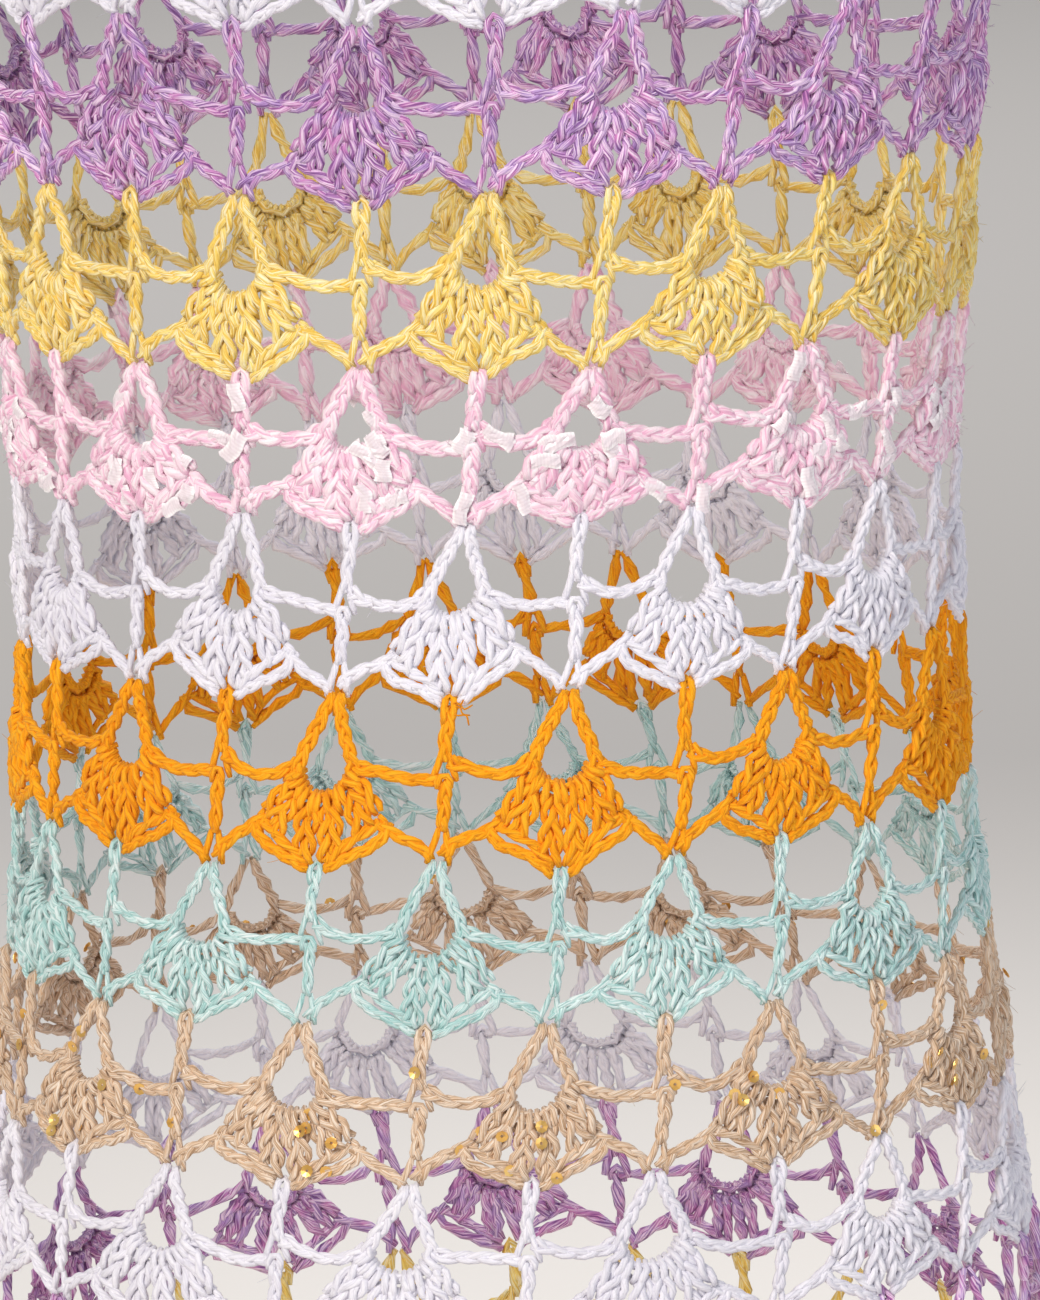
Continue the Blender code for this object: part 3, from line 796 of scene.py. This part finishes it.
def ribbon_flags(name, half_first, seed):
    """Short pieces of ribbon that lie along the yarn, bent over it, folded and a little twisted."""
    chance = np.random.default_rng(seed)
    centre, out, _, _, along = trim_spots("pink", half_first, FLAGS, seed, chance)
    count = len(centre)

    def draw(low, high):
        """A random value for each flag."""
        return chance.uniform(low, high, (count, 1, 1, 1))

    askew = chance.normal(0, 0.35, (count, 1))
    long_way = along * np.cos(askew) + np.cross(out, along) * np.sin(askew)
    wide_way = np.cross(out, long_way)
    centre, out, long_way, wide_way = (part[:, None, None] for part in (centre, out, long_way, wide_way))
    a, b = np.meshgrid(np.linspace(-1, 1, FLAG_ROWS), np.linspace(-1, 1, FLAG_COLUMNS), indexing="ij")
    a, b = a[None, :, :, None], b[None, :, :, None]
    long_half, wide_half = FLAG_LONG / 2 * draw(0.7, 1.2), FLAG_WIDE / 2 * draw(0.8, 1.2)
    twist, wave = draw(-0.5, 0.5), draw(0, 2 * math.pi)
    bent = -0.0005 * a ** 4 - 0.0009 * b ** 2 + twist * wide_half * a * b
    fold = np.abs(a - 0.6 * np.sin(wave)) * draw(-0.0008, 0.0006)
    crease = (0.00018 * np.sin(2 * wave + 6 * a + 5 * b)
              + 0.00012 * chance.normal(size=(count, FLAG_ROWS, FLAG_COLUMNS, 1)))
    curve = 0.22 * np.sin(3 * a + wave)
    face = (centre + long_way * long_half * a + wide_way * wide_half * (b + curve)
            + out * (PINK_RADIUS / 1000 + FLAG_LIFT + bent + fold + crease))
    back = face - out * FLAG_THICK

    # both sides as grids of faces, and a strip round the cut edge that closes them
    points = np.stack([face, back], axis=1).reshape(-1, 3)
    at = np.arange(len(points)).reshape(count, 2, FLAG_ROWS, FLAG_COLUMNS)
    top, under = at[:, 0], at[:, 1]
    quads = [(top[:, :-1, :-1], top[:, 1:, :-1], top[:, 1:, 1:], top[:, :-1, 1:]),
             (under[:, :-1, :-1], under[:, :-1, 1:], under[:, 1:, 1:], under[:, 1:, :-1])]
    edge, edge_under = (
        np.concatenate([side[:, 0, :-1], side[:, :-1, -1], side[:, -1, :0:-1], side[:, :0:-1, 0]], axis=1)
        for side in (top, under))
    quads.append((edge, np.roll(edge, -1, axis=1), np.roll(edge_under, -1, axis=1), edge_under))
    corners = np.concatenate([np.stack(quad, axis=-1).reshape(-1, 4) for quad in quads])
    mesh = bpy.data.meshes.new(name)
    mesh.from_pydata(points.tolist(), [], corners.tolist())
    flat_place = np.concatenate([a * FLAG_LONG * 500 + 0 * b, b * 0.5 + 0.5 + 0 * a], axis=-1)[:, None]
    flat_place = np.broadcast_to(flat_place, (count, 2, FLAG_ROWS, FLAG_COLUMNS, 2)).reshape(-1, 2)
    uv = mesh.uv_layers.new(name="strand")
    uv.data.foreach_set("uv", flat_place[corners.ravel()].astype(np.float32).ravel())
    return trim_piece(name, mesh, satin)


for half, first, node in HALVES:
    yarn, flat = work("pink", first, PINK_RADIUS, swing=1.16, fibres=PINK_FIBRES)
    trims = [ribbon_flags(f"ribbon_flags_{half}", first, 51 + int(first))]
    hang(yarn, f"pink_stripes_{half}", pink_cotton, node)


# Orange stripes: a matte cotton in three plies. At one post near the middle of the front the yarn was cut
# and fastened off, and the threads of its end stand out.
ORANGE_RADIUS = 1.04
LOOSE_END_PLACE = -0.26
LOOSE_END_BAND = 6
LOOSE_END_SHADE = 0.3
LOOSE_THREADS = (
    ((0.5, 2.6), (3.0, 1.4), (5.0, 3.2), (7.4, 2.6)), ((0.5, 3.0), (2.6, 4.6), (5.6, 5.0), (6.6, 8.2)),
    ((0.5, 2.8), (3.4, 2.4), (4.6, 4.4), (6.8, 5.4)), ((0.5, 2.4), (2.2, 1.0), (3.6, 2.0), (4.4, 0.6)))
LOOSE_THREAD_LIFT = (0.6, 2.2, 2.8, 2.0)
LOOSE_THREAD_THICK = 0.26

# reactive dyed cotton: one strong even orange, matte; it goes red only deep between the strands, where the
# red is painted shade
orange_cotton = spun("cotton_orange_matte", ("#c45e02", "#fca808", "#ffc434"), plies=3, lay_mm=20, groove=0.4,
                     threads=10, streak=0.45, roughness=0.9, sheen=0.04)
for half, first, node in HALVES:
    yarn, flat = work("orange", first, ORANGE_RADIUS)
    if half == "front":
        loose = []
        for points in LOOSE_THREADS:
            loose += plait(points, 0.8, 1, 0, 0, 1, 0, LOOSE_THREAD_LIFT, thick=LOOSE_THREAD_THICK)
        joint = joints[LOOSE_END_BAND]
        lay(yarn, loose, np.array([LOOSE_END_PLACE - float(lean(joint))]), joint, BAND_HEIGHT,
            ORANGE_RADIUS / 1000, NEAR_SIDES, np.array([LOOSE_END_SHADE]))
    hang(yarn, f"orange_stripes_{half}", orange_cotton, node)


# Mint stripes: the thinnest yarn, a cotton of pale mint plied with white. Its stitches are as long as those
# of the other yarns, and so its lace is the most open.
MINT_RADIUS = 0.86
# one white ply among the mint ones: a pale candy line that winds round the strand
mint_cotton = spun("cotton_mint_plied_with_white", ("#6fa8a4", "#b6dcda", "#fbffff"), plies=3, lay_mm=18,
                   groove=0.4, threads=12, streak=0.6, roughness=0.75, sheen=0.15, drift="#d3ebea")
plain_stripes("mint", mint_cotton, MINT_RADIUS, swing=0.88)


# Shoulder straps: narrow bands of three long plaits of the white yarn side by side. Each is sewn to the inner
# side of the top edge in front, arches over the shoulder and is sewn behind the same edge at the back.
STRAP_X = 0.085
STRAP_PLAITS = (-4.1, 0.0, 4.1)             # millimetres from the strap's middle
STRAP_STEP = 2.0
STRAP_PLAIT = (1.30, 0.65, 9.5)
STRAP_SUNK = 0.0065                         # how far the ends reach down behind the top edge
STRAP_INSET = 0.0030                        # how far inside its yarn they are sewn on


def strap(name, node, side):
    """A strap's plaits, on the line of its solid from the front edge over the shoulder to the back edge."""
    half_width, front, back = level(TOP_DROP)[0]
    across_edge = math.asin(STRAP_X / half_width)
    turn = np.linspace(-math.pi / 2, math.pi / 2, 400)
    depth = np.where(turn < 0, front, back)
    edge_slope = np.arctan2(depth * math.sin(across_edge), half_width * math.cos(across_edge))
    bend = edge_slope * np.sin(turn) ** 2 * np.where(turn < 0, 1, -1)
    zero = np.zeros_like(turn)
    near_end = np.sin(turn) ** 8
    reach = depth * math.cos(across_edge) - STRAP_INSET * near_end
    middle = np.stack([zero + side * STRAP_X, reach * np.sin(turn),
                       (WALL + TOP_DROP) * np.cos(turn) - TOP_DROP - STRAP_SUNK * near_end], axis=-1)
    wide = np.stack([side * np.cos(bend), np.sin(bend), zero], axis=-1)
    way = np.gradient(middle, axis=0)
    out = unit(np.cross(wide, way) * side)
    run = run_along(middle)
    length = float(run[-1])
    line = ((0.0, 0.0), (0.0, length * 1000))
    yarn = Yarn()
    for number, offset in enumerate(STRAP_PLAITS):
        for base, off, _ in plait(line, STRAP_STEP, 2, *STRAP_PLAIT, number * 2.1, (0.0, 0.0)):
            at = base[:, 1] / 1000
            spread = (offset + off[:, 0]) / 1000
            path, wide_there, out_there = (
                np.stack([np.interp(at, run, part[:, i]) for i in range(3)], axis=-1)
                for part in (middle, wide, out))
            path = path + wide_there * spread[:, None] + out_there * (off[:, 2:3] / 1000 - WALL / 2)
            yarn.add(path[None], out_there[None], WHITE_RADIUS / 1000, NEAR_SIDES, np.array([0.03 * number]))
    piece = yarn.object(name, white_cotton)
    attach(piece, "root")
    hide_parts(node)


strap("left_strap_crochet", "strap_left", 1)
strap("right_strap_crochet", "strap_right", -1)


# The stage: a plain pale floor that the dress hangs over, soft daylight from large panels, and the camera
# at the photograph's place, a little above the waist and close in.
FLOOR_DROP = 1.390
bpy.ops.mesh.primitive_plane_add(size=30, location=(0, 0, -FLOOR_DROP))
floor = bpy.context.object
floor.name = "studio_floor"
floor_material, _, _ = new_material("studio_paper_matte", {"Base Color": linear("#f4eee8"), "Roughness": 0.9})
floor.data.materials.append(floor_material)

world = bpy.data.worlds.new("studio_air")
world.use_nodes = True
world.node_tree.nodes["Background"].inputs["Color"].default_value = linear("#eef0f4")
world.node_tree.nodes["Background"].inputs["Strength"].default_value = 0.42
bpy.context.scene.world = world

bpy.context.scene.view_settings.view_transform = "Standard"

AIM = Vector((0.0, 0.0, -0.381))


def panel_light(name, place, size, power, colour, faces=AIM):
    """A large soft light that faces the waist, or straight down where faces is None."""
    lamp = bpy.data.lights.new(name, "AREA")
    lamp.shape = "SQUARE"
    lamp.size = size
    lamp.energy = power
    lamp.color = linear(colour)[:3]
    holder = placed(name, lamp)
    holder.location = place
    if faces is not None:
        holder.rotation_euler = (faces - Vector(place)).to_track_quat("-Z", "Y").to_euler()


panel_light("key_panel", (-1.5, -2.4, 1.5), 1.2, 82, "#fff8f0")
panel_light("fill_panel", (2.4, -2.2, 0.2), 2.2, 24, "#f2f6ff")
panel_light("back_panel", (0.6, 2.6, 1.2), 2.0, 48, "#ffffff")
# this one lights the floor far behind the dress
panel_light("floor_panel", (0, 8.0, 2.4), 6, 55, "#ffffff", faces=None)

# where the photograph was taken from: degrees, metres and the photograph's own pixels
PHOTO_HEIGHT = 1300
SENSOR_WIDTH = 36.0
CAMERA_TURN = math.radians(3.31)
CAMERA_DOWN = math.radians(11.90)
CAMERA_ROLL = math.radians(1.47)
CAMERA_AWAY = 1.80
FOCAL_PIXELS = 6168
AIM_RIGHT_PIXELS = 30
AIM_DOWN_PIXELS = 34
camera_data = bpy.data.cameras.new("camera")
camera_data.sensor_width = SENSOR_WIDTH
camera_data.lens = FOCAL_PIXELS / PHOTO_HEIGHT * SENSOR_WIDTH
camera = placed("camera", camera_data)
right = Vector((math.cos(CAMERA_TURN), -math.sin(CAMERA_TURN), 0.0))
level_way = Vector((math.sin(CAMERA_TURN), math.cos(CAMERA_TURN), 0.0))
forward = level_way * math.cos(CAMERA_DOWN) + Vector((0, 0, -math.sin(CAMERA_DOWN)))
above = right.cross(forward)
turned = Matrix.Rotation(CAMERA_ROLL, 3, forward)
right, above = turned @ right, turned @ above
metres_a_pixel = CAMERA_AWAY / FOCAL_PIXELS
aim = AIM + right * AIM_RIGHT_PIXELS * metres_a_pixel - above * AIM_DOWN_PIXELS * metres_a_pixel
camera.matrix_world = Matrix.Translation(aim - forward * CAMERA_AWAY) @ Matrix(
    (right, above, -forward)).transposed().to_4x4()
camera_data.clip_end = 60
bpy.context.scene.camera = camera
